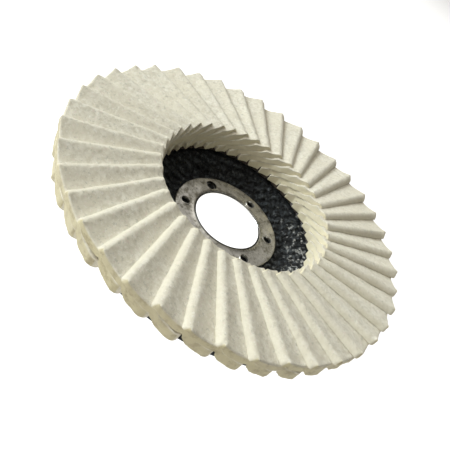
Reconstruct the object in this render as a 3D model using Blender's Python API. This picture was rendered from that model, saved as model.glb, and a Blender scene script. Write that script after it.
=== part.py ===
"""Felt flap polishing disc, 115 mm class, for an angle grinder.

Forty slabs of pressed wool felt stand shingled round a dished glass-fibre backing plate.
They are bedded in a ring of cured epoxy, and a stamped steel eyelet with a rear washer
lines the 22.23 mm arbor hole.

Frame: metres, +Z up along the spin axis towards the felt. The origin is on the axis, in the
rear face of the hub, which is the face that sits on the grinder's flange.
"""

import math

import bmesh
import bpy
from mathutils import Vector

MM = 0.001

# ---- driving dimensions, millimetres -------------------------------------------------
FLAPS = 40                    # felt slabs round the disc
PITCH = 2 * math.pi / FLAPS   # angle between neighbours

ARBOR_D = 22.23               # standard 7/8 in arbor hole
CLEAR = 0.30                  # gap kept between touching pieces

# levels of the hub stack, from the rear face up
WASHER_T = 0.70
HUB_Z0 = WASHER_T + CLEAR     # rear face of the laminate at the hub
HUB_Z1 = HUB_Z0 + 1.90        # front face of the laminate at the hub
RING_Z0 = HUB_Z1 + CLEAR
RING_Z1 = RING_Z0 + 0.80      # front face of the eyelet's flange

# steel eyelet and washer
RING_D = 36.0
COLLAR_T = 0.80               # wall of the collar that lines the hole
COLLAR_RISE = 0.45            # the lip of the hole stands this much above the flange
HOLES = 6
HOLE_D = 3.1
HOLE_CIRCLE_D = 29.5
HOLE_PHASE = math.radians(21.0)
WASHER_D = 36.0

# glass-fibre backing plate
HUB_R = 20.4                  # flat of the hub
CONE_R = 27.6                 # top of the cone, start of the flange
FLANGE_R = 52.0
FLANGE_Z_IN = RING_Z1 + 3.00  # front face of the flange at the cone
FLANGE_Z_OUT = RING_Z1 + 3.60  # front face of the flange at its edge
PLATE_T = 2.00

# epoxy bed between flange and flaps
EPOXY_R0 = 28.6
EPOXY_R1 = 51.4
EPOXY_T = 0.60

# felt slabs
RIDGE_R_IN = 28.8             # radius of a free edge's inner end
RIDGE_R_OUT = 57.0            # radius of a free edge's outer end
RIDGE_LEAN = math.radians(9.5)  # the inner end lags the outer end by this much
RIDGE_Z_IN = RING_Z1 + 13.75  # height of the free edge, before its tip lifts
RIDGE_Z_OUT = RING_Z1 + 12.50
FELT_T = 2.60                 # felt at the free edge, not squeezed
LAYER_IN = 2.15               # height taken by one layer in the stack, inner end
LAYER_OUT = 2.45              # the same, outer end
TOE_IN = 1.90                 # height of the squeezed toe, inner end
TOE_OUT = 3.00                # the same, outer end
FELT_MAX = 3.10               # the felt never swells past this
LIFT_IN = 0.30                # lift of the free tip, inner end
LIFT_OUT = 0.70
LIFT_RUN = 2.2                # how fast the lift dies away from the tip
FOOT_Z_IN = FLANGE_Z_IN + 2 * CLEAR + EPOXY_T
FOOT_Z_OUT = FLANGE_Z_OUT + 2 * CLEAR + EPOXY_T

ROUND_SEGMENTS = 48


# ---- scene ---------------------------------------------------------------------------
for old in list(bpy.data.objects):
    bpy.data.objects.remove(old, do_unlink=True)

root = bpy.data.objects.new("felt_flap_disc", None)
bpy.context.scene.collection.objects.link(root)


def material(name, rgb, roughness, metallic=0.0):
    mat = bpy.data.materials.new(name)
    mat.use_nodes = True
    bsdf = mat.node_tree.nodes["Principled BSDF"]
    bsdf.inputs["Base Color"].default_value = (*rgb, 1.0)
    bsdf.inputs["Roughness"].default_value = roughness
    bsdf.inputs["Metallic"].default_value = metallic
    return mat


FELT = material("wool_felt", (0.77, 0.73, 0.63), 0.95)
GLASS_FIBRE = material("resin_glass_fibre", (0.012, 0.013, 0.015), 0.42)
STEEL = material("stamped_steel", (0.36, 0.35, 0.33), 0.38, 1.0)
EPOXY = material("cured_epoxy", (0.045, 0.035, 0.028), 0.5)


def link(name, mesh, mat):
    obj = bpy.data.objects.new(name, mesh)
    bpy.context.scene.collection.objects.link(obj)
    mesh.materials.append(mat)
    obj.parent = root
    return obj


def smooth(obj, angle_deg):
    obj.data.shade_smooth()
    obj.data.set_sharp_from_angle(angle=math.radians(angle_deg))


def lerp(a, b, t):
    return a + (b - a) * t


def turned(name, profile, mat, segments=ROUND_SEGMENTS, angle=30):
    """A closed profile of (radius, height) in mm, turned about the spin axis."""
    bm = bmesh.new()
    ring = [bm.verts.new((r * MM, 0.0, z * MM)) for r, z in profile]
    edges = [bm.edges.new((ring[i], ring[(i + 1) % len(ring)])) for i in range(len(ring))]
    bmesh.ops.spin(bm, geom=ring + edges, cent=(0, 0, 0), axis=(0, 0, 1),
                   angle=2 * math.pi, steps=segments, use_merge=True, use_duplicate=False)
    bmesh.ops.remove_doubles(bm, verts=bm.verts, dist=1e-6)
    bmesh.ops.recalc_face_normals(bm, faces=bm.faces)
    mesh = bpy.data.meshes.new(name)
    bm.to_mesh(mesh)
    bm.free()
    obj = link(name, mesh, mat)
    smooth(obj, angle)
    return obj


# ---- backing plate: flat hub, cone, nearly flat flange -------------------------------
BORE_CLEAR_R = ARBOR_D / 2 + COLLAR_T + CLEAR

front = [(BORE_CLEAR_R, HUB_Z1), (HUB_R, HUB_Z1), (HUB_R + 1.2, HUB_Z1 + 0.35),
         (CONE_R - 1.3, FLANGE_Z_IN - 0.55), (CONE_R + 0.6, FLANGE_Z_IN),
         (FLANGE_R - 0.5, FLANGE_Z_OUT), (FLANGE_R, FLANGE_Z_OUT - 0.4)]
back = [(FLANGE_R, FLANGE_Z_OUT - PLATE_T + 0.3), (FLANGE_R - 0.4, FLANGE_Z_OUT - PLATE_T),
        (CONE_R + 1.8, FLANGE_Z_IN - PLATE_T), (CONE_R, FLANGE_Z_IN - PLATE_T - 0.55),
        (HUB_R + 2.2, HUB_Z0 + 0.45), (HUB_R + 0.9, HUB_Z0), (BORE_CLEAR_R, HUB_Z0)]
turned("backing_plate", front + back, GLASS_FIBRE, segments=60)

# ---- epoxy bed -----------------------------------------------------------------------


def flange_z(r):
    return lerp(FLANGE_Z_IN, FLANGE_Z_OUT, (r - CONE_R) / (FLANGE_R - CONE_R))


turned("epoxy_bed",
       [(EPOXY_R0, flange_z(EPOXY_R0) + CLEAR), (EPOXY_R1, flange_z(EPOXY_R1) + CLEAR),
        (EPOXY_R1 - 0.3, flange_z(EPOXY_R1) + CLEAR + EPOXY_T),
        (EPOXY_R0 + 0.3, flange_z(EPOXY_R0) + CLEAR + EPOXY_T)], EPOXY)

# ---- steel eyelet: flange, raised lip of the hole, collar through the hub ------------
a = ARBOR_D / 2
ring_r = RING_D / 2
eyelet = turned("centre_ring", [
    (a + 0.15, RING_Z1 + COLLAR_RISE), (a + 0.55, RING_Z1 + COLLAR_RISE),
    (a + 1.15, RING_Z1 + 0.22), (a + 1.75, RING_Z1),
    (ring_r - 0.35, RING_Z1), (ring_r, RING_Z1 - 0.30), (ring_r, RING_Z0),
    (a + COLLAR_T, RING_Z0), (a + COLLAR_T, WASHER_T + 0.05),
    (a + COLLAR_T + 0.45, 0.10), (a + 0.30, 0.10), (a, 0.45),
    (a, RING_Z1 + COLLAR_RISE - 0.3)], STEEL)

# six punched holes through the flange, each a round cutter
for k in range(HOLES):
    bm = bmesh.new()
    bmesh.ops.create_cone(bm, cap_ends=True, segments=16, radius1=HOLE_D / 2 * MM,
                          radius2=HOLE_D / 2 * MM, depth=4 * MM)
    mesh = bpy.data.meshes.new(f"punch_{k + 1}")
    bm.to_mesh(mesh)
    bm.free()
    punch = link(f"punch_{k + 1}", mesh, STEEL)
    angle = HOLE_PHASE + k * 2 * math.pi / HOLES
    punch.location = Vector((math.cos(angle), math.sin(angle), 0)) * HOLE_CIRCLE_D / 2 * MM
    punch.location.z = (RING_Z0 + RING_Z1) / 2 * MM
    punch.hide_render = True
    punch.display_type = "WIRE"
    cut = eyelet.modifiers.new(f"hole_{k + 1}", "BOOLEAN")
    cut.operation = "DIFFERENCE"
    cut.object = punch
    cut.solver = "EXACT"

# ---- rear washer, countersunk for the flared end of the collar -----------------------
turned("rear_washer", [
    (a + COLLAR_T + 0.45 + CLEAR + 0.10, 0.0), (WASHER_D / 2 - 0.3, 0.0),
    (WASHER_D / 2, 0.25), (WASHER_D / 2, WASHER_T),
    (a + COLLAR_T + CLEAR + 0.10, WASHER_T)], STEEL)


# ---- felt slabs ----------------------------------------------------------------------
def turn(v, angle):
    c, s = math.cos(angle), math.sin(angle)
    return Vector((v.x * c - v.y * s, v.x * s + v.y * c))


OUTER_END = Vector((RIDGE_R_OUT, 0.0))
INNER_END = turn(Vector((RIDGE_R_IN, 0.0)), -RIDGE_LEAN)
ALONG = (OUTER_END - INNER_END).normalized()      # along the free edge, outwards
ACROSS = Vector((-ALONG.y, ALONG.x))              # from free edge to foot
SPAN = (OUTER_END - INNER_END).length


def slope(s):
    """Fall of the slab per mm away from its free edge, at the share s of its length."""
    radius = (INNER_END + ALONG * SPAN * s).length
    return lerp(LAYER_IN, LAYER_OUT, s) / (PITCH * radius)


def top_z(s, x):
    """Height of a slab's broad face x mm from its free edge."""
    s = max(-0.15, min(1.15, s))
    lift = lerp(LIFT_IN, LIFT_OUT, s) * math.exp(-max(x, 0.0) / LIFT_RUN)
    return lerp(RIDGE_Z_IN, RIDGE_Z_OUT, s) - slope(s) * x + lift


def tip_angle(s):
    return math.atan(slope(s) + lerp(LIFT_IN, LIFT_OUT, s) / LIFT_RUN)


def place(s, x):
    return INNER_END + ALONG * SPAN * s + ACROSS * x


def neighbour_top(s, x):
    """Height of the broad face of the slab underneath, at the same point."""
    p = turn(place(s, x), PITCH) - INNER_END
    return top_z(p.dot(ALONG) / SPAN, p.dot(ACROSS))


def foot_level(s):
    return lerp(FOOT_Z_IN, FOOT_Z_OUT, s)


def toe_x(s):
    """Where the slab ends: its broad face has come down to the height of the toe."""
    ridge = lerp(RIDGE_Z_IN, RIDGE_Z_OUT, s)
    return (ridge - foot_level(s) - lerp(TOE_IN, TOE_OUT, s)) / slope(s)


def neighbour_toe_x(s):
    """How far from this slab's free edge the toe of the slab underneath lies."""
    x = toe_x(s) * 0.6
    for _ in range(30):
        p = turn(place(s, x), PITCH) - INNER_END
        x += toe_x(p.dot(ALONG) / SPAN) - p.dot(ACROSS)
    return x


def resting_z(s, x):
    """Underside over the neighbour: it rests on it, or is as thick as the free felt."""
    free = top_z(s, x) - FELT_T / math.cos(math.atan(slope(s)))
    return max(neighbour_top(s, x) + CLEAR, free)


def glued_z(s, x):
    """Underside past the neighbour's toe, down on the epoxy where the felt can reach it."""
    return max(foot_level(s), top_z(s, x) - FELT_MAX / math.cos(math.atan(slope(s))))


def section(s):
    """Corners of the slab across its width, as (x, z), going round from the free edge."""
    tip = tip_angle(s)
    toe = toe_x(s)
    step = neighbour_toe_x(s)
    low = Vector((-FELT_T * math.sin(tip), top_z(s, 0) - FELT_T * math.cos(tip)))
    low.y = max(low.y, neighbour_top(s, low.x) + CLEAR)
    edge = low.lerp(Vector((0.0, top_z(s, 0))), 0.80)
    out = [low, edge]
    for t in (0.045, 0.15, 0.36, 0.68, 1.0):
        x = toe * t
        out.append(Vector((x, top_z(s, x))))
    out.append(Vector((toe - 0.1, foot_level(s))))
    out.append(Vector((lerp(step, toe, 0.45), glued_z(s, lerp(step, toe, 0.45)))))
    out.append(Vector((step + CLEAR + 0.1, glued_z(s, step + CLEAR + 0.1))))
    for x in (step, step * 0.55, step * 0.2):
        out.append(Vector((x, resting_z(s, x))))
    return out


bm = bmesh.new()
loops = []
for i in range(6):
    s = i / 5
    ring = []
    for x, z in section(s):
        p = place(s, x)
        ring.append(bm.verts.new((p.x * MM, p.y * MM, z * MM)))
    loops.append(ring)
n = len(loops[0])
for lower, upper in zip(loops, loops[1:]):
    for i in range(n):
        j = (i + 1) % n
        bm.faces.new((lower[i], lower[j], upper[j], upper[i]))
bm.faces.new(loops[0])
bm.faces.new(loops[-1])
bmesh.ops.recalc_face_normals(bm, faces=bm.faces)
bmesh.ops.triangulate(bm, faces=bm.faces)
bmesh.ops.recalc_face_normals(bm, faces=bm.faces)
slab = bpy.data.meshes.new("felt_slab")
bm.to_mesh(slab)
bm.free()
slab.materials.append(FELT)
slab.shade_smooth()
slab.set_sharp_from_angle(angle=math.radians(35))

FIRST_ANGLE = math.radians(1.3)
for k in range(FLAPS):
    flap = bpy.data.objects.new(f"felt_flap_{k + 1:02d}", slab)
    bpy.context.scene.collection.objects.link(flap)
    flap.parent = root
    flap.rotation_euler.z = FIRST_ANGLE + k * PITCH
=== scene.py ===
"""Looks of the felt flap polishing disc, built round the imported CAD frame.

Lengths are worked out in millimetres and written to the meshes in metres. The felt slabs
repeat the CAD part's own surface and add what a plain solid leaves out: rounded, slightly
fluffy edges, slabs that differ from each other, and cut ends that show the fibre.
"""
import math

import bmesh
import bpy
import numpy as np
from mathutils import Matrix, Vector


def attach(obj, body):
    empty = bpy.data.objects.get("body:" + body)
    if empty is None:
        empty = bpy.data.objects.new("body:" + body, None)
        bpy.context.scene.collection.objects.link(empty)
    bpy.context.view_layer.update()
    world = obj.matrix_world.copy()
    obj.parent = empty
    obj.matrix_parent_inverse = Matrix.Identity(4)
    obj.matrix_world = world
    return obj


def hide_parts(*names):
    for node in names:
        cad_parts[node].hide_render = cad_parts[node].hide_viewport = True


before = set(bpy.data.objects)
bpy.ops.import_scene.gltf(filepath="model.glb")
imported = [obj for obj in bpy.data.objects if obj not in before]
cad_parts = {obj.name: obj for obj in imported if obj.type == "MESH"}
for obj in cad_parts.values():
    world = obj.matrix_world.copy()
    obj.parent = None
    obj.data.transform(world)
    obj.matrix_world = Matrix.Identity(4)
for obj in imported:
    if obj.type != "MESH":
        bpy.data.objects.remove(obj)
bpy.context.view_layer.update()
MM = 0.001

# ---- dimensions of the CAD part, millimetres ------------------------------------------
FLAPS = 40
PITCH = 2 * math.pi / FLAPS
FIRST_ANGLE = math.radians(1.3)
BORE_R = 22.23 / 2
CLEAR = 0.30
WASHER_T = 0.70
HUB_Z0, HUB_Z1 = 1.0, 2.9
RING_Z0, RING_Z1 = 3.2, 4.0
RING_R = 18.0
COLLAR_T, COLLAR_RISE = 0.80, 0.45
HOLES, HOLE_D, HOLE_CIRCLE_R, HOLE_PHASE = 6, 3.1, 29.5 / 2, math.radians(21.0)
HUB_R, CONE_R, FLANGE_R = 20.4, 27.6, 52.0
FLANGE_Z_IN, FLANGE_Z_OUT = RING_Z1 + 3.00, RING_Z1 + 3.60
PLATE_T = 2.0
EPOXY_R0, EPOXY_R1, EPOXY_T = 28.6, 51.4, 0.60
RIDGE_R_IN, RIDGE_R_OUT, RIDGE_LEAN = 28.8, 57.0, math.radians(9.5)
RIDGE_Z_IN, RIDGE_Z_OUT = RING_Z1 + 13.75, RING_Z1 + 12.50
FELT_T = 2.60
LAYER_IN, LAYER_OUT = 2.15, 2.45
TOE_IN, TOE_OUT = 1.90, 3.00
LIFT_IN, LIFT_OUT, LIFT_RUN = 0.30, 0.70, 2.2
FOOT_Z_IN = FLANGE_Z_IN + 2 * CLEAR + EPOXY_T
FOOT_Z_OUT = FLANGE_Z_OUT + 2 * CLEAR + EPOXY_T


def lerp(a, b, t):
    return a + (b - a) * t


def smoothstep(a, b, x):
    t = np.clip((x - a) / (b - a), 0.0, 1.0)
    return t * t * (3 - 2 * t)


# ---- seeded noise ----------------------------------------------------------------------
def cell_value(i, j, k, seed):
    h = (i * 374761393 + j * 668265263 + k * 1103515245 + seed * 144269504) & 0xFFFFFFFF
    h = ((h ^ (h >> 13)) * 1274126177) & 0xFFFFFFFF
    h = ((h ^ (h >> 15)) * 1911520717) & 0xFFFFFFFF
    return ((h ^ (h >> 16)) & 0xFFFFFF) / float(0xFFFFFF)


def noise(points, cell, seed):
    """Smooth value noise in -1..1 for points in mm, with one bump per cell."""
    q = points / cell
    base = np.floor(q).astype(np.int64)
    f = q - base
    f = f * f * f * (f * (f * 6 - 15) + 10)
    total = np.zeros(len(points))
    for dx in (0, 1):
        wx = f[:, 0] if dx else 1 - f[:, 0]
        for dy in (0, 1):
            wy = f[:, 1] if dy else 1 - f[:, 1]
            for dz in (0, 1):
                wz = f[:, 2] if dz else 1 - f[:, 2]
                total += wx * wy * wz * cell_value(base[:, 0] + dx, base[:, 1] + dy,
                                                   base[:, 2] + dz, seed)
    return 2 * total - 1


# ---- materials -------------------------------------------------------------------------
class Nodes:
    """A short way to write a material's node tree."""

    def __init__(self, name):
        self.mat = bpy.data.materials.new(name)
        self.mat.use_nodes = True
        self.tree = self.mat.node_tree
        self.shader = self.tree.nodes["Principled BSDF"]
        self.coord = self.tree.nodes.new("ShaderNodeTexCoord").outputs["Object"]

    def feed(self, socket, value):
        if isinstance(value, bpy.types.NodeSocket):
            self.tree.links.new(value, socket)
        elif isinstance(value, tuple) and len(value) == 3 and socket.type == "RGBA":
            socket.default_value = (*value, 1.0)
        else:
            socket.default_value = value

    def noise(self, size_mm, detail=4.0, rough=0.6, stretch=None, offset=0.0, distortion=0.0):
        vector = self.coord
        if stretch or offset:
            mapping = self.tree.nodes.new("ShaderNodeMapping")
            self.tree.links.new(self.coord, mapping.inputs["Vector"])
            mapping.inputs["Location"].default_value = (offset, offset * 0.7, -offset)
            if stretch:
                mapping.inputs["Scale"].default_value = stretch
            vector = mapping.outputs["Vector"]
        node = self.tree.nodes.new("ShaderNodeTexNoise")
        self.tree.links.new(vector, node.inputs["Vector"])
        node.inputs["Scale"].default_value = 1.0 / (size_mm * MM)
        node.inputs["Detail"].default_value = detail
        node.inputs["Roughness"].default_value = rough
        node.inputs["Distortion"].default_value = distortion
        return node.outputs["Fac"]

    def cells(self, size_mm, feature="F1"):
        node = self.tree.nodes.new("ShaderNodeTexVoronoi")
        node.feature = feature
        self.tree.links.new(self.coord, node.inputs["Vector"])
        node.inputs["Scale"].default_value = 1.0 / (size_mm * MM)
        return node.outputs["Distance"]

    def span(self, value, low, high, out_low=0.0, out_high=1.0):
        node = self.tree.nodes.new("ShaderNodeMapRange")
        node.interpolation_type = "SMOOTHSTEP"
        self.feed(node.inputs["Value"], value)
        node.inputs["From Min"].default_value = low
        node.inputs["From Max"].default_value = high
        node.inputs["To Min"].default_value = out_low
        node.inputs["To Max"].default_value = out_high
        return node.outputs["Result"]

    def math(self, operation, a, b=0.0, c=0.0):
        node = self.tree.nodes.new("ShaderNodeMath")
        node.operation = operation
        for socket, value in zip(node.inputs, (a, b, c)):
            self.feed(socket, value)
        return node.outputs[0]

    def mix(self, fac, a, b, blend="MIX"):
        node = self.tree.nodes.new("ShaderNodeMix")
        node.data_type = "RGBA"
        node.blend_type = blend
        self.feed(node.inputs[0], fac)
        self.feed(node.inputs[6], a)
        self.feed(node.inputs[7], b)
        return node.outputs[2]

    def attribute(self, name):
        node = self.tree.nodes.new("ShaderNodeAttribute")
        node.attribute_name = name
        return node.outputs["Fac"]

    def bump(self, height, distance_mm, strength=1.0, normal=None):
        node = self.tree.nodes.new("ShaderNodeBump")
        node.inputs["Strength"].default_value = strength
        node.inputs["Distance"].default_value = distance_mm * MM
        self.tree.links.new(height, node.inputs["Height"])
        if normal is not None:
            self.tree.links.new(normal, node.inputs["Normal"])
        return node.outputs["Normal"]

    def radius(self):
        """Distance from the spin axis in metres."""
        split = self.tree.nodes.new("ShaderNodeSeparateXYZ")
        self.tree.links.new(self.coord, split.inputs[0])
        squares = self.math("ADD", self.math("POWER", split.outputs[0], 2.0),
                            self.math("POWER", split.outputs[1], 2.0))
        return self.math("SQRT", squares)

    def set(self, **values):
        names = {"color": "Base Color", "rough": "Roughness", "metal": "Metallic",
                 "normal": "Normal", "spec": "Specular IOR Level", "coat": "Coat Weight",
                 "coat_rough": "Coat Roughness", "sheen": "Sheen Weight",
                 "sheen_rough": "Sheen Roughness", "sheen_tint": "Sheen Tint"}
        for key, value in values.items():
            self.feed(self.shader.inputs[names[key]], value)
        return self.mat


def felt_material():
    n = Nodes("pressed_wool_felt")
    cloud = n.span(n.noise(1.5, 6.0, 0.68), 0.36, 0.64)
    base = n.mix(cloud, (0.640, 0.598, 0.472), (0.795, 0.760, 0.640))
    wide = n.span(n.noise(11.0, 3.0, 0.5, offset=3.1), 0.38, 0.66, 0.0, 0.55)
    base = n.mix(wide, base, (0.770, 0.722, 0.570))
    fleck = n.span(n.noise(0.95, 3.0, 0.6, offset=1.7), 0.56, 0.68, 0.0, 0.52)
    base = n.mix(fleck, base, (0.430, 0.420, 0.340))
    pink = n.span(n.noise(0.95, 3.0, 0.6, offset=7.3), 0.57, 0.68, 0.0, 0.35)
    base = n.mix(pink, base, (0.760, 0.615, 0.545))
    pale = n.span(n.noise(0.62, 2.0, 0.5, offset=9.9), 0.58, 0.68, 0.0, 0.6)
    base = n.mix(pale, base, (0.880, 0.850, 0.760))
    cut = n.attribute("cut")
    base = n.mix(n.math("MULTIPLY", n.attribute("strip"), 0.6), base, (0.750, 0.706, 0.560))
    base = n.mix(n.math("MULTIPLY", n.attribute("inner"), 0.85), base, (0.805, 0.735, 0.515))
    base = n.mix(n.math("MULTIPLY", cut, 0.95), base, (0.570, 0.510, 0.310))
    scorch = n.span(n.noise(2.4, 5.0, 0.68, offset=12.0), 0.46, 0.64, 0.0, 0.55)
    base = n.mix(n.math("MULTIPLY", cut, scorch), base, (0.290, 0.230, 0.125))
    tone = n.attribute("tone")
    base = n.mix(tone, base, (0.560, 0.505, 0.400))
    hairs = n.noise(0.30, 3.0, 0.7, stretch=(1.0, 2.6, 1.0), distortion=1.2)
    hairs = n.math("ADD", hairs, n.noise(0.34, 3.0, 0.7, stretch=(2.4, 1.0, 1.2), offset=4.0,
                                         distortion=1.4))
    lumps = n.noise(1.1, 4.0, 0.6, offset=2.2)
    normal = n.bump(lumps, 0.30, 0.55)
    normal = n.bump(hairs, 0.10, 0.60, normal)
    return n.set(color=base, rough=n.span(cloud, 0.0, 1.0, 0.90, 0.99), normal=normal, spec=0.18,
                 sheen=0.35, sheen_rough=0.45, sheen_tint=(1.0, 0.96, 0.86))


def laminate_material():
    n = Nodes("black_glass_cloth_laminate")
    cloth = n.span(n.noise(1.3, 4.0, 0.65), 0.40, 0.62)
    base = n.mix(cloth, (0.0008, 0.0010, 0.0012), (0.010, 0.012, 0.013))
    # painted highlight and shade: the weave crests get a lighter colour and the valleys stay near black, standing in
    # for light on the strand tops and shade between them
    crest_highlight = n.math("MULTIPLY", n.attribute("crest_highlight"), n.span(n.noise(1.6, 2.0, 0.6, offset=11.0),
                                                            0.48, 0.56))
    base = n.mix(crest_highlight, base, (0.044, 0.050, 0.053))
    # pale specks that are partly felt dust and partly painted glints on the lit side of the cloth
    dust_and_glints = n.math("MULTIPLY", n.attribute("dust_and_glints"), n.span(n.noise(0.6, 2.0, 0.6, offset=5.0), 0.38, 0.55))
    base = n.mix(dust_and_glints, base, (0.440, 0.440, 0.415))
    gloss = n.span(n.math("MULTIPLY", crest_highlight, 1.0), 0.0, 0.8, 0.55, 0.15)
    grain = n.noise(0.7, 3.0, 0.6, distortion=0.8)
    normal = n.bump(n.noise(1.5, 2.0, 0.5, offset=8.0), 1.3, 1.0)
    normal = n.bump(grain, 0.40, 0.8, normal)
    return n.set(color=base, rough=gloss, normal=normal, spec=0.22)


def steel_material(name, bright, dull, worn):
    n = Nodes(name)
    r = n.radius()
    cloud = n.span(n.noise(4.5, 5.0, 0.65), 0.36, 0.66)
    base = n.mix(cloud, bright, dull)
    stain = n.span(n.noise(2.3, 6.0, 0.74, offset=1.3), 0.47, 0.62, 0.0, worn)
    base = n.mix(stain, base, (0.155, 0.140, 0.100))
    speck = n.span(n.noise(0.5, 4.0, 0.7, offset=6.0), 0.62, 0.72, 0.0, 0.8 * worn)
    base = n.mix(speck, base, (0.060, 0.055, 0.045))
    edge = n.span(r, 0.0170, 0.0176, 0.0, 0.15)
    base = n.mix(edge, base, (0.120, 0.112, 0.098))
    # painted shade: a near-black band round the bore's rim stands in for the shade on the rolled lip's inner edge
    bore_shade = n.span(r, 0.01158, 0.01180, 0.96, 0.0)
    base = n.mix(bore_shade, base, (0.020, 0.018, 0.016))
    rough = n.math("ADD", n.span(cloud, 0.0, 1.0, 0.26, 0.40), n.math("MULTIPLY", stain, 0.22))
    turned = n.noise(0.55, 4.0, 0.7)
    normal = n.bump(n.noise(5.0, 2.0, 0.5, offset=3.0), 0.35, 0.5)
    normal = n.bump(turned, 0.035, 0.6, normal)
    return n.set(color=base, metal=1.0, rough=rough, normal=normal)


def collar_material():
    n = Nodes("bright_zinc_collar")
    cloud = n.span(n.noise(3.0, 4.0, 0.6), 0.35, 0.65)
    base = n.mix(cloud, (0.90, 0.90, 0.89), (0.97, 0.97, 0.96))
    rough = n.span(cloud, 0.0, 1.0, 0.10, 0.17)
    normal = n.bump(n.noise(0.8, 3.0, 0.6), 0.02, 0.4)
    return n.set(color=base, metal=1.0, rough=rough, normal=normal)


def epoxy_material():
    n = Nodes("cured_amber_epoxy")
    cloud = n.span(n.noise(2.0, 5.0, 0.65), 0.35, 0.65)
    base = n.mix(cloud, (0.020, 0.015, 0.011), (0.070, 0.048, 0.028))
    normal = n.bump(n.noise(1.1, 3.0, 0.6), 0.2, 0.7)
    return n.set(color=base, rough=n.span(cloud, 0.0, 1.0, 0.22, 0.45), normal=normal, spec=0.5)


FELT = felt_material()
LAMINATE = laminate_material()
STEEL = steel_material("stamped_steel", (0.66, 0.645, 0.605), (0.43, 0.415, 0.375), 0.78)
WASHER_STEEL = steel_material("zinc_plated_steel", (0.62, 0.61, 0.585), (0.47, 0.455, 0.43), 0.35)
COLLAR = collar_material()
EPOXY = epoxy_material()


def new_piece(name, verts_mm, faces, materials, node, material_index=None):
    mesh = bpy.data.meshes.new(name)
    mesh.from_pydata((np.asarray(verts_mm) * MM).tolist(), [], faces)
    for mat in materials:
        mesh.materials.append(mat)
    if material_index is not None:
        mesh.polygons.foreach_set("material_index", material_index)
    mesh.shade_smooth()
    mesh.update()
    obj = bpy.data.objects.new(name, mesh)
    bpy.context.scene.collection.objects.link(obj)
    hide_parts(node)
    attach(obj, "root")
    return obj


# ---- felt slabs ------------------------------------------------------------------------
def turn(p, angle):
    c, s = math.cos(angle), math.sin(angle)
    return np.stack([p[..., 0] * c - p[..., 1] * s, p[..., 0] * s + p[..., 1] * c], axis=-1)


OUTER_END = np.array([RIDGE_R_OUT, 0.0])
INNER_END = turn(np.array([RIDGE_R_IN, 0.0]), -RIDGE_LEAN)
SPAN = float(np.linalg.norm(OUTER_END - INNER_END))
ALONG = (OUTER_END - INNER_END) / SPAN
ACROSS = np.array([-ALONG[1], ALONG[0]])

rng = np.random.default_rng(23)
HIGH_IN = rng.uniform(-0.16, 0.16, FLAPS)        # height of each slab's inner end
HIGH_OUT = rng.uniform(-0.24, 0.24, FLAPS)       # and of its outer end
YAW = rng.uniform(-0.30, 0.30, FLAPS) * math.pi / 180
LONGER = rng.uniform(-0.22, 0.26, FLAPS)         # the outer ends aren't trimmed in one line
LIFTED = rng.uniform(0.65, 1.35, FLAPS)          # how far the free edge stands off
TONE = rng.uniform(0.0, 0.22, FLAPS)
SWELL_IN, SWELL_OUT = 0.80, 1.10


def slab_angle(k):
    return FIRST_ANGLE + k * PITCH + YAW[k % FLAPS]


def slope(s):
    p = INNER_END + ALONG * SPAN * s[..., None]
    return lerp(LAYER_IN, LAYER_OUT, s) / (PITCH * np.hypot(p[..., 0], p[..., 1]))


def next_edge_x(k, s):
    """Where the slab laid on slab k has its free edge, in slab k's own x."""
    ends = np.stack([turn(p, slab_angle(k + 1) - slab_angle(k)) - INNER_END
                     for p in (INNER_END, OUTER_END)])
    (s0, s1), (x0, x1) = ends @ ALONG / SPAN, ends @ ACROSS
    return x0 + (x1 - x0) * (s - s0) / (s1 - s0)


def top_z(k, s, x):
    """Height of slab k's broad face, x mm from its free edge at the share s of its length."""
    swell = next_edge_x(k, s) - x
    k %= FLAPS
    s = np.clip(s, -0.15, 1.15)
    rise = 0.5 * lerp(LIFT_IN, LIFT_OUT, s)
    tip = rise * (0.35 + 0.65 * LIFTED[k]) + 0.45 * LIFTED[k] * np.clip(s, 0, 1) ** 10
    z = lerp(RIDGE_Z_IN, RIDGE_Z_OUT, s) + rise - slope(s) * x + lerp(HIGH_IN[k], HIGH_OUT[k], s)
    z = z + tip * np.exp(-np.maximum(x, 0.0) / LIFT_RUN)
    # the felt swells up against the edge that presses into it
    z = z + (lerp(SWELL_IN, SWELL_OUT, s) * np.exp(-np.maximum(swell, 0.0) / 1.0)
             * (1 - smoothstep(0.2, 2.4, -swell)))
    wave = np.stack([s * SPAN, x, np.full_like(s, 31.7 * k)], axis=-1)
    return z + 0.13 * noise(wave.reshape(-1, 3), 6.5, 5).reshape(s.shape)


def foot_level(s):
    return lerp(FOOT_Z_IN, FOOT_Z_OUT, s)


def toe_x(s):
    ridge = lerp(RIDGE_Z_IN, RIDGE_Z_OUT, s)
    return (ridge - foot_level(s) - lerp(TOE_IN, TOE_OUT, s)) / slope(s)


def in_neighbour(k, s, x):
    """The same point in the (s, x) of the slab underneath."""
    p = INNER_END + ALONG * SPAN * s[..., None] + ACROSS * x[..., None]
    p = turn(p, slab_angle(k) - slab_angle(k - 1)) - INNER_END
    return p @ ALONG / SPAN, p @ ACROSS


def neighbour_toe_x(k, s):
    x = toe_x(s) * 0.6
    for _ in range(30):
        s2, x2 = in_neighbour(k, s, x)
        x = x + toe_x(s2) - x2
    return x


def steps(*runs):
    """Positions from runs of (end, count)."""
    out = [0.0]
    for end, count in runs:
        start = out[-1]
        out += [start + (end - start) * (i + 1) / count for i in range(count)]
    return np.array(out)


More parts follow.
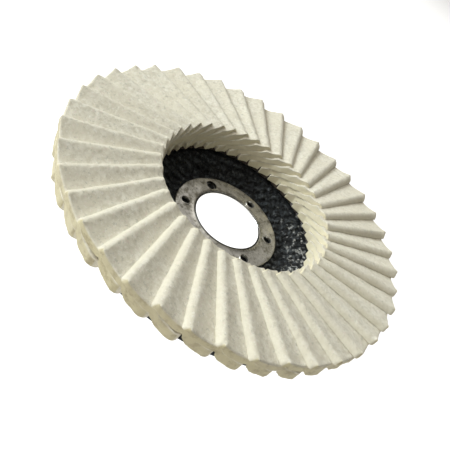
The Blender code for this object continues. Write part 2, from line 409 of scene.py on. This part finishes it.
# the slab is a box of SPAN by WIDE by THICK, gridded, rounded, and then laid in its place
WIDE, THICK = 16.6, 2.6
GRID_A = steps((0.24, 2), (1.2, 4), (SPAN - 2.4, 50), (SPAN - 0.4, 6), (SPAN, 3))
GRID_B = steps((0.24, 2), (1.2, 5), (2.0, 2), (7.4, 9), (13.8, 20), (WIDE - 1.6, 2), (WIDE - 0.4, 4), (WIDE, 3))
GRID_C = steps((0.11, 1), (0.26, 1), (0.5, 1), (0.9, 1), (1.35, 1), (1.9, 1), (2.34, 1), (2.50, 1), (THICK, 1))
ROUND_IN, ROUND_OUT, ROUND_TOE = 0.42, 1.15, 1.9


def slab_grid():
    """Corner indices on the box's skin, and its faces, facing out."""
    na, nb, nc = len(GRID_A), len(GRID_B), len(GRID_C)
    index, points, faces = {}, [], []

    def vertex(i, j, k):
        if (i, j, k) not in index:
            index[i, j, k] = len(points)
            points.append((GRID_A[i], GRID_B[j], GRID_C[k]))
        return index[i, j, k]

    def quad(p, q, r, s):
        faces.append((vertex(*p), vertex(*q), vertex(*r), vertex(*s)))

    for i in range(na - 1):
        for j in range(nb - 1):
            quad((i, j, 0), (i + 1, j, 0), (i + 1, j + 1, 0), (i, j + 1, 0))
            m = nc - 1
            quad((i, j, m), (i, j + 1, m), (i + 1, j + 1, m), (i + 1, j, m))
        for k in range(nc - 1):
            quad((i, 0, k), (i, 0, k + 1), (i + 1, 0, k + 1), (i + 1, 0, k))
            m = nb - 1
            quad((i, m, k), (i + 1, m, k), (i + 1, m, k + 1), (i, m, k + 1))
    for j in range(nb - 1):
        for k in range(nc - 1):
            quad((0, j, k), (0, j + 1, k), (0, j + 1, k + 1), (0, j, k + 1))
            m = na - 1
            quad((m, j, k), (m, j, k + 1), (m, j + 1, k + 1), (m, j + 1, k))
    return np.array(points), faces


def rounded(box):
    """The box's grid with rounded corners in plan and rounded edges all round."""
    a, b, c = box[:, 0].copy(), box[:, 1].copy(), box[:, 2].copy()
    radius = np.where(a > SPAN / 2, np.where(b > WIDE / 2, ROUND_TOE, ROUND_OUT), ROUND_IN)
    qa = np.clip(a, radius, SPAN - radius)
    qb = np.clip(b, radius, WIDE - radius)
    da, db = a - qa, b - qb
    inside = np.minimum(np.minimum(a, SPAN - a), np.minimum(b, WIDE - b))   # from the outline
    # roll the broad faces over into the sides
    to_end = np.minimum(a, SPAN - a)
    free_edge = smoothstep(-0.8, 0.8, to_end - b)
    plain_edge = np.where(a > SPAN / 2, 0.55, 0.28)
    edge = np.where(b < 4.0, lerp(plain_edge, 1.50, free_edge), np.where(b > WIDE - 3.0, 0.20, plain_edge))
    edge = np.where((a < 2.0) & (b > 2.0), 0.15, edge)
    under = c >= edge
    edge = np.where(under, np.where(a < 2.0, 0.10, 0.16), edge)
    qc = np.where(under, np.minimum(c, THICK - edge), edge)
    p, q = np.maximum(edge - inside, 0.0), c - qc
    m, size = np.maximum(p, np.abs(q)), np.hypot(p, q)
    both = (p > 0) & (np.abs(q) > 0)
    scale = np.where(both, m / np.maximum(size, 1e-9), 1.0)
    p2, q2 = p * scale, q * scale
    inside2 = np.where(p > 0, edge - p2, inside)
    c2 = qc + q2
    # squares round each corner become arcs, at the new distance from the outline
    corner = (np.abs(da) > 0) & (np.abs(db) > 0)
    reach = np.maximum(np.abs(da), np.abs(db))
    length = np.maximum(np.hypot(da, db), 1e-9)
    new = np.maximum(radius - inside2, 0.0)
    ca = qa + np.where(corner, da / length * new, 0.0)
    cb = qb + np.where(corner, db / length * new, 0.0)
    side_a = ~corner & ((np.abs(da) > 0) | (inside < np.minimum(b, WIDE - b)))
    move = inside2 - inside
    sa = a + np.where(a > SPAN / 2, -move, move)
    sb = b + np.where(b > WIDE / 2, -move, move)
    near_a = np.minimum(a, SPAN - a) <= np.minimum(b, WIDE - b)
    a2 = np.where(corner, ca, np.where(near_a, sa, a))
    b2 = np.where(corner, cb, np.where(near_a, b, sb))
    return a2, b2, c2, inside


SLAB_BOX, SLAB_FACES = slab_grid()
SLAB_A, SLAB_B, SLAB_C, SLAB_INSIDE = rounded(SLAB_BOX)


def slab_points(k):
    share, v, w = SLAB_A / SPAN, SLAB_B / WIDE, SLAB_C / THICK
    # inner ends draw in at the foot, and outer ends are cut a little unevenly
    draw = 0.55 * smoothstep(0.30, 0.70, v) - 1.75 * np.clip((v - 0.80) / 0.20, 0, 1)
    along = SPAN * share + draw * (1 - share) ** 6
    along = along + (LONGER[k] + 0.20 * np.sin(3.1 * k + 5.0 * v) - 0.55 * v * v) * share ** 6
    s = along / SPAN
    toe = toe_x(s)
    xt = v * toe
    zt = top_z(k, s, xt)
    tip = np.arctan(slope(s) + lerp(LIFT_IN, LIFT_OUT, s) / LIFT_RUN)
    fade = np.exp(-xt / 1.4)
    xb = xt - FELT_T * np.sin(tip) * fade - 0.1 * v
    free = zt - lerp(FELT_T / np.cos(np.arctan(slope(s))), FELT_T * np.cos(tip), fade)
    s2, x2 = in_neighbour(k, s, xb)
    step = neighbour_toe_x(k, s)
    rest = np.maximum(free, top_z(k - 1, s2, np.minimum(x2, toe_x(s2))) + 0.07)
    down = smoothstep(step + 0.10, step + 0.60, xb)
    zb = lerp(rest, np.maximum(foot_level(s), zt - 3.9), down)
    zb = np.minimum(zb, zt - 0.6)
    x = lerp(xt, xb, w)
    z = lerp(zt, zb, w)
    p = INNER_END + ALONG * along[:, None] + ACROSS * x[:, None]
    p = turn(p, slab_angle(k))
    return np.column_stack([p, z])


def normals_of(mesh):
    out = np.empty(len(mesh.vertices) * 3, dtype=np.float32)
    mesh.vertices.foreach_get("normal", out)
    return out.reshape(-1, 3).astype(float)


END_FACE = np.maximum(1 - SLAB_INSIDE / 0.55, 0.0)
END_A = np.maximum(1 - np.minimum(SLAB_BOX[:, 0], SPAN - SLAB_BOX[:, 0]) / 0.55, 0.0)
SIDE = smoothstep(0.15, 0.6, SLAB_C)
CUT = np.clip(END_A, 0, 1) * SIDE
INNER = np.where(SLAB_BOX[:, 0] > SPAN / 2, 0.0, CUT)
CUT = CUT - INNER
STRIP = np.clip(1 - SLAB_BOX[:, 1] / 0.9, 0, 1) * smoothstep(0.3, 1.2, SLAB_C)
COVERED_FROM = lerp(4.0, 8.4, SLAB_A / SPAN)
SHOWN = np.clip(1 - (SLAB_B - COVERED_FROM) / 0.7, 0, 1) * (SLAB_C < 1.5)
SHOWN = SHOWN + np.clip(END_FACE, 0, 1) * (SLAB_B < WIDE - 1.0)
SHOWN = np.clip(SHOWN, 0, 1)

flaps = []
for k in range(FLAPS):
    node = f"felt_flap_{k + 1:02d}"
    points = slab_points(k)
    flap = new_piece(f"felt_slab_{k + 1:02d}", points, SLAB_FACES, [FELT], node)
    mesh = flap.data
    normal = normals_of(mesh)
    shift = 31.0 * k
    q = points + np.array([shift, -shift, 0.5 * shift])
    rough = 0.060 * noise(q, 2.3, 1) + 0.050 * noise(q, 1.1, 2) + 0.035 * noise(q, 0.6, 3)
    rough += 0.07 * CUT * noise(q, 0.8, 4)
    points = points + normal * (rough * SHOWN)[:, None]
    mesh.vertices.foreach_set("co", (points * MM).ravel())
    for label, values in (("cut", CUT), ("inner", INNER), ("strip", STRIP), ("tone", np.full(len(points), TONE[k]))):
        layer = mesh.attributes.new(label, "FLOAT", "POINT")
        layer.data.foreach_set("value", values.astype(np.float32))
    mesh.update()
    flaps.append(flap)


# ---- turned pieces with a fine surface --------------------------------------------------
def turned(profile, segments):
    """Points of a closed (radius, height) profile turned about the axis, and its faces."""
    profile = np.asarray(profile, dtype=float)
    n = len(profile)
    angle = np.arange(segments) * 2 * math.pi / segments
    r = profile[None, :, 0]
    points = np.stack([r * np.cos(angle)[:, None], r * np.sin(angle)[:, None],
                       np.broadcast_to(profile[None, :, 1], (segments, n))], axis=-1)
    faces = []
    for i in range(segments):
        i2 = (i + 1) % segments
        for j in range(n):
            j2 = (j + 1) % n
            faces.append((i * n + j, i2 * n + j, i2 * n + j2, i * n + j2))
    return points.reshape(-1, 3), faces


def dense(points, pitch):
    """A closed outline with extra points so that none are further apart than its pitch."""
    out = []
    for (p, q, step) in zip(points, points[1:] + points[:1], pitch):
        count = max(1, int(round(math.dist(p, q) / step)))
        out += [(lerp(p[0], q[0], i / count), lerp(p[1], q[1], i / count)) for i in range(count)]
    return out


def weave(x, y, pitch):
    """Height of a plain weave, 0 to 1: strands that pass over and under each other."""
    u, v = x / pitch, y / pitch
    cu, cv = np.floor(u), np.floor(v)
    warp = np.sqrt(np.clip(1 - (2 * (u - cu) - 1) ** 2, 0, 1))
    weft = np.sqrt(np.clip(1 - (2 * (v - cv) - 1) ** 2, 0, 1))
    over = np.cos(math.pi * (v + cu))
    under = -np.cos(math.pi * (u + cv))
    return np.maximum(0.55 * warp + 0.45 * over, 0.55 * weft + 0.45 * under).clip(-0.2, 1)


core_r = BORE_R + COLLAR_T + CLEAR
outline = [(core_r, HUB_Z1), (17.4, HUB_Z1), (HUB_R, HUB_Z1), (HUB_R + 1.2, HUB_Z1 + 0.35),
           (CONE_R - 1.3, FLANGE_Z_IN - 0.55), (CONE_R + 0.6, FLANGE_Z_IN), (30.0, FLANGE_Z_IN + 0.06),
           (FLANGE_R - 0.5, FLANGE_Z_OUT), (FLANGE_R, FLANGE_Z_OUT - 0.4),
           (FLANGE_R, FLANGE_Z_OUT - PLATE_T + 0.3), (FLANGE_R - 0.4, FLANGE_Z_OUT - PLATE_T),
           (CONE_R + 1.8, FLANGE_Z_IN - PLATE_T), (CONE_R, FLANGE_Z_IN - PLATE_T - 0.55),
           (HUB_R + 2.2, HUB_Z0 + 0.45), (HUB_R + 0.9, HUB_Z0), (17.6, HUB_Z0), (core_r, HUB_Z0)]
pitch = [1.8, 0.25, 0.25, 0.25, 0.25, 0.25, 3.0, 0.4, 0.4, 0.4, 0.55, 0.4, 0.4, 0.4, 0.5, 1.8, 1.0]
points, faces = turned(dense(outline, pitch), 640)
faces = [face[::-1] for face in faces]
plate = new_piece("glass_cloth_plate", points, faces, [LAMINATE], "backing_plate")
normal = normals_of(plate.data)
r = np.hypot(points[:, 0], points[:, 1])
front = normal[:, 2] > 0.2
back = normal[:, 2] < -0.2
wobble = np.column_stack([noise(points, 6.0, 41), noise(points, 6.0, 42)]) * 0.5
tilt = turn(points[:, :2] + wobble, math.radians(17))
fine = weave(tilt[:, 0], tilt[:, 1], 1.90)
coarse = weave(tilt[:, 0], tilt[:, 1], 2.60)
show = smoothstep(17.6, 18.6, r) * (1 - smoothstep(26.3, 27.3, r))
h = np.where(front, show * (0.60 * fine - 0.45 + 0.34 * noise(points, 1.5, 43)
                            + 0.22 * noise(points, 0.8, 44)), 0.0)
tail = smoothstep(18.2, 19.2, r) * (1 - smoothstep(51.0, 51.7, r))
h += np.where(back, tail * (0.26 * coarse - 0.22 + 0.05 * noise(points, 1.2, 45)), 0.0)
rim = ~front & ~back & (r > 51.0)
h += np.where(rim, -0.12 + 0.12 * noise(points, 0.9, 46), 0.0)
h = h + np.where(front, show * 0.10 * noise(points, 3.4, 47), 0.0)
# the weave-crest mask carries a painted highlight: crests are coloured lighter and valleys darker in the laminate
crest_highlight = np.where(front, smoothstep(0.45, 0.95, fine) * show, np.where(back, smoothstep(0.5, 1.0, coarse), 0.2))
# felt dust lies in the cloth, most of it on one side and down at the foot of the felt; on that side, which faces the
# key lamp, the pale specks are also painted glints
toward = (points[:, 0] * math.cos(0.12) + points[:, 1] * math.sin(0.12)) / r
dust_and_glints = 0.10 + 0.90 * smoothstep(0.45, 0.92, toward) * smoothstep(20.0, 25.0, r)
grain = noise(points, 0.85, 49) + 0.8 * noise(points, 0.50, 50) + 0.3 * noise(points, 2.6, 48)
dust_and_glints = dust_and_glints * smoothstep(0.10, 0.85, grain - 0.47 + 0.45 * dust_and_glints)
dust_and_glints = np.where(front, dust_and_glints, 0.0)
for label, values in (("crest_highlight", crest_highlight), ("dust_and_glints", dust_and_glints)):
    layer = plate.data.attributes.new(label, "FLOAT", "POINT")
    layer.data.foreach_set("value", values.astype(np.float32))
points = points + normal * h[:, None]
plate.data.vertices.foreach_set("co", (points * MM).ravel())
plate.data.update()


def flange_z(radius):
    return lerp(FLANGE_Z_IN, FLANGE_Z_OUT, (radius - CONE_R) / (FLANGE_R - CONE_R))


# cured epoxy between flange and felt, squeezed out unevenly at both edges
e0, e1 = EPOXY_R0 - 0.7, EPOXY_R1 + 0.3
outline = [(e0 + 0.35, flange_z(e0) + 0.05), (e1, flange_z(e1) + 0.05),
           (e1 + 0.2, flange_z(e1) + 0.5), (e1, flange_z(e1) + 1.1),
           (e0 + 0.6, flange_z(e0) + 1.1), (e0, flange_z(e0) + 0.55)]
points, faces = turned(dense(outline, [1.4, 0.3, 0.3, 1.4, 0.25, 0.25]), 420)
epoxy = new_piece("epoxy_bead", points, faces, [EPOXY], "epoxy_bed")
r = np.hypot(points[:, 0], points[:, 1])
normal = normals_of(epoxy.data)
edge = np.clip(1 - np.minimum(r - e0, e1 - r) / 1.5, 0, 1)
push = normal * (edge * (0.30 * noise(points, 2.4, 61) + 0.12 * noise(points, 0.9, 62)))[:, None]
push[:, 2] = np.where(push[:, 2] * normal[:, 2] > 0, 0.0, push[:, 2])
points = points + push
epoxy.data.vertices.foreach_set("co", (points * MM).ravel())
epoxy.data.update()


# ---- steel eyelet: rolled lip, collar, and six punched holes with their burrs ------------
def solid(name, points, faces):
    mesh = bpy.data.meshes.new(name)
    mesh.from_pydata((np.asarray(points) * MM).tolist(), [], faces)
    bm = bmesh.new()
    bm.from_mesh(mesh)
    bmesh.ops.recalc_face_normals(bm, faces=bm.faces)
    bm.to_mesh(mesh)
    bm.free()
    obj = bpy.data.objects.new(name, mesh)
    bpy.context.scene.collection.objects.link(obj)
    return obj


def arc(cx, cz, radius, start, end, count):
    return [(cx + radius * math.cos(math.radians(lerp(start, end, i / count))),
             cz + radius * math.sin(math.radians(lerp(start, end, i / count))))
            for i in range(count + 1)]


a = BORE_R
lip = RING_Z1 + COLLAR_RISE
outline = (arc(a + 0.32, lip - 0.32, 0.32, 180, 20, 7)
           + [(a + 0.78, RING_Z1 + 0.30), (a + 1.05, RING_Z1 + 0.14), (a + 1.45, RING_Z1 + 0.03),
              (a + 2.0, RING_Z1 - 0.02)]
           + [(lerp(a + 2.4, RING_R - 0.7, i / 9), RING_Z1 - 0.02 + 0.02 * (i / 9)) for i in range(10)]
           + arc(RING_R - 0.34, RING_Z1 - 0.34, 0.34, 88, 0, 6)
           + [(RING_R, RING_Z0 + 0.12), (RING_R - 0.12, RING_Z0), (a + COLLAR_T + 0.2, RING_Z0),
              (a + COLLAR_T, RING_Z0 - 0.2), (a + COLLAR_T, 1.0), (a + COLLAR_T + 0.05, 0.75)]
           + [(a + COLLAR_T + 0.42, 0.22), (a + COLLAR_T + 0.40, 0.12), (a + 0.55, 0.10),
              (a + 0.25, 0.16), (a + 0.05, 0.40), (a, 0.70), (a, 2.0), (a, 3.2)])
points, faces = turned(outline, 192)
ring = solid("eyelet", points, faces)
tools = []
for k in range(HOLES):
    angle = HOLE_PHASE + k * 2 * math.pi / HOLES
    cx, cy = HOLE_CIRCLE_R * math.cos(angle), HOLE_CIRCLE_R * math.sin(angle)
    radius = HOLE_D / 2 - 0.16
    burr, burr_faces = turned(arc(radius + 0.20, RING_Z1 - 0.02, 0.24, 0, 360, 13)[:-1], 40)
    burr[:, 2] += 0.06 * np.sin(np.arctan2(burr[:, 1], burr[:, 0]) * 2 + k)
    tool, tool_faces = turned([(0.0001, RING_Z0 - 0.6), (radius - 0.10, RING_Z0 - 0.6),
                               (radius - 0.10, RING_Z1 - 0.34), (radius - 0.02, RING_Z1 - 0.12),
                               (radius + 0.06, RING_Z1 + 0.14), (radius + 0.12, RING_Z1 + 0.6),
                               (0.0001, RING_Z1 + 0.6)], 40)
    for kind, (pts, fcs), operation in (("burr", (burr, burr_faces), "UNION"),
                                        ("tool", (tool, tool_faces), "DIFFERENCE")):
        pts = pts + np.array([cx, cy, 0.0])
        helper = solid(f"{kind}_{k}", pts, fcs)
        mod = ring.modifiers.new(helper.name, "BOOLEAN")
        mod.operation = operation
        mod.object = helper
        mod.solver = "EXACT"
        tools.append(helper)
bpy.context.view_layer.update()
evaluated = ring.evaluated_get(bpy.context.evaluated_depsgraph_get())
ring_mesh = bpy.data.meshes.new_from_object(evaluated)
for helper in tools + [ring]:
    bpy.data.objects.remove(helper, do_unlink=True)
ring_mesh.name = "steel_eyelet"
eyelet = bpy.data.objects.new("steel_eyelet", ring_mesh)
bpy.context.scene.collection.objects.link(eyelet)
ring_mesh.materials.clear()
ring_mesh.materials.append(STEEL)
ring_mesh.materials.append(COLLAR)
ring_mesh.shade_smooth()
for poly in ring_mesh.polygons:
    radial = math.hypot(poly.center.x, poly.center.y) / MM
    inward = poly.normal.x * poly.center.x + poly.normal.y * poly.center.y < 0
    poly.material_index = 1 if radial < a + 0.12 and inward else 0
ring_mesh.set_sharp_from_angle(angle=math.radians(38))
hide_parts("centre_ring")
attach(eyelet, "root")

w_in = a + COLLAR_T + 0.45 + CLEAR + 0.10
w_out = 18.0
outline = ([(w_in + 0.02, 0.06), (w_in + 0.14, 0.0)]
           + [(lerp(w_in + 0.5, w_out - 0.5, i / 10), 0.0) for i in range(11)]
           + arc(w_out - 0.24, 0.24, 0.24, -85, 0, 5)
           + arc(w_out - 0.14, WASHER_T - 0.14, 0.14, 0, 90, 4)
           + [(a + COLLAR_T + CLEAR + 0.2, WASHER_T), (a + COLLAR_T + CLEAR + 0.12, WASHER_T - 0.1)])
points, faces = turned(outline, 192)
washer = new_piece("rear_steel_washer", points, faces, [WASHER_STEEL], "rear_washer")
washer.data.set_sharp_from_angle(angle=math.radians(38))

for piece in (plate, epoxy, washer, eyelet, *flaps):
    bm = bmesh.new()
    bm.from_mesh(piece.data)
    if bm.calc_volume(signed=True) < 0:
        bmesh.ops.reverse_faces(bm, faces=bm.faces)
        bm.to_mesh(piece.data)
    bm.free()


# ---- stage -------------------------------------------------------------------------------
def plain(name, color, rough, glow=0.0):
    mat = bpy.data.materials.new(name)
    mat.use_nodes = True
    shader = mat.node_tree.nodes["Principled BSDF"]
    shader.inputs["Base Color"].default_value = (*color, 1.0)
    shader.inputs["Roughness"].default_value = rough
    if glow:
        shader.inputs["Emission Color"].default_value = (1, 1, 1, 1)
        shader.inputs["Emission Strength"].default_value = glow
    return mat


bpy.ops.mesh.primitive_grid_add(size=60.0, location=(0, 0, -0.35))
floor = bpy.context.object
floor.name = "pale_floor"
floor.data.materials.append(plain("pale_floor", (0.62, 0.62, 0.62), 0.9))
# the floor glows by emission in a soft pool behind the disc, as a lit backdrop would look: a painted pool of light
# that also throws fill onto the disc
tree = floor.data.materials[0].node_tree
place = tree.nodes.new("ShaderNodeTexCoord").outputs["Object"]
pool = tree.nodes.new("ShaderNodeVectorMath")
pool.operation = "DISTANCE"
tree.links.new(place, pool.inputs[0])
pool.inputs[1].default_value = (0.14, 0.52, 0.0)
fall = tree.nodes.new("ShaderNodeMapRange")
fall.interpolation_type = "SMOOTHSTEP"
tree.links.new(pool.outputs["Value"], fall.inputs["Value"])
fall.inputs["From Min"].default_value = 1.45
fall.inputs["From Max"].default_value = 2.5
fall.inputs["To Min"].default_value = 0.72
fall.inputs["To Max"].default_value = 0.28
shader = tree.nodes["Principled BSDF"]
shader.inputs["Emission Color"].default_value = (1, 1, 1, 1)
tree.links.new(fall.outputs["Result"], shader.inputs["Emission Strength"])

world = bpy.context.scene.world or bpy.data.worlds.new("soft_studio")
bpy.context.scene.world = world
world.use_nodes = True
sky = world.node_tree.nodes["Background"]
sky.inputs["Color"].default_value = (1.0, 0.975, 0.915, 1.0)
# a soft tent: bright on the key side, falling away on the other
tree = world.node_tree
where = tree.nodes.new("ShaderNodeTexCoord").outputs["Generated"]
facing = tree.nodes.new("ShaderNodeVectorMath")
facing.operation = "DOT_PRODUCT"
tree.links.new(where, facing.inputs[0])
facing.inputs[1].default_value = Vector((-0.85, -0.02, 0.50)).normalized()
tent = tree.nodes.new("ShaderNodeMapRange")
tent.interpolation_type = "SMOOTHSTEP"
tree.links.new(facing.outputs["Value"], tent.inputs["Value"])
tent.inputs["From Min"].default_value = -0.12
tent.inputs["From Max"].default_value = 0.95
tent.inputs["To Min"].default_value = 0.10
tent.inputs["To Max"].default_value = 1.22
tree.links.new(tent.outputs["Result"], sky.inputs["Strength"])


def area(name, direction, distance, size, power, color=(1, 1, 1)):
    light = bpy.data.lights.new(name, "AREA")
    light.shape = "DISK"
    light.size = size
    light.energy = power
    light.color = color
    obj = bpy.data.objects.new(name, light)
    bpy.context.scene.collection.objects.link(obj)
    aim = Vector(direction).normalized()
    obj.location = aim * distance + Vector((0, 0, 0.01))
    obj.rotation_euler = aim.to_track_quat("Z", "Y").to_euler()
    return obj


# irradiance of a lamp at the disc is power / (pi * distance^2) for a far, facing disk lamp
area("key", (-0.86, -0.09, 0.50), 1.0, 0.45, 7.4, (0.83, 0.93, 1.0))

camera = bpy.data.objects.new("camera", bpy.data.cameras.new("camera"))
bpy.context.scene.collection.objects.link(camera)
right = Vector((0.77366, 0.388403, 0.500593))
up = Vector((-0.633512, 0.487412, 0.600909))
behind = Vector((-0.0106, -0.782031, 0.62315))
camera.matrix_world = Matrix.Translation(Vector((5.037, -141.277, 113.508)) * MM) @ Matrix(
    (right, up, behind)).transposed().to_4x4()
camera.data.lens = 45.4817
camera.data.sensor_width = 36.0
camera.data.shift_x = -0.032398
camera.data.shift_y = 0.034009
camera.data.clip_start = 0.001
bpy.context.scene.camera = camera
bpy.context.scene.view_settings.view_transform = "Standard"
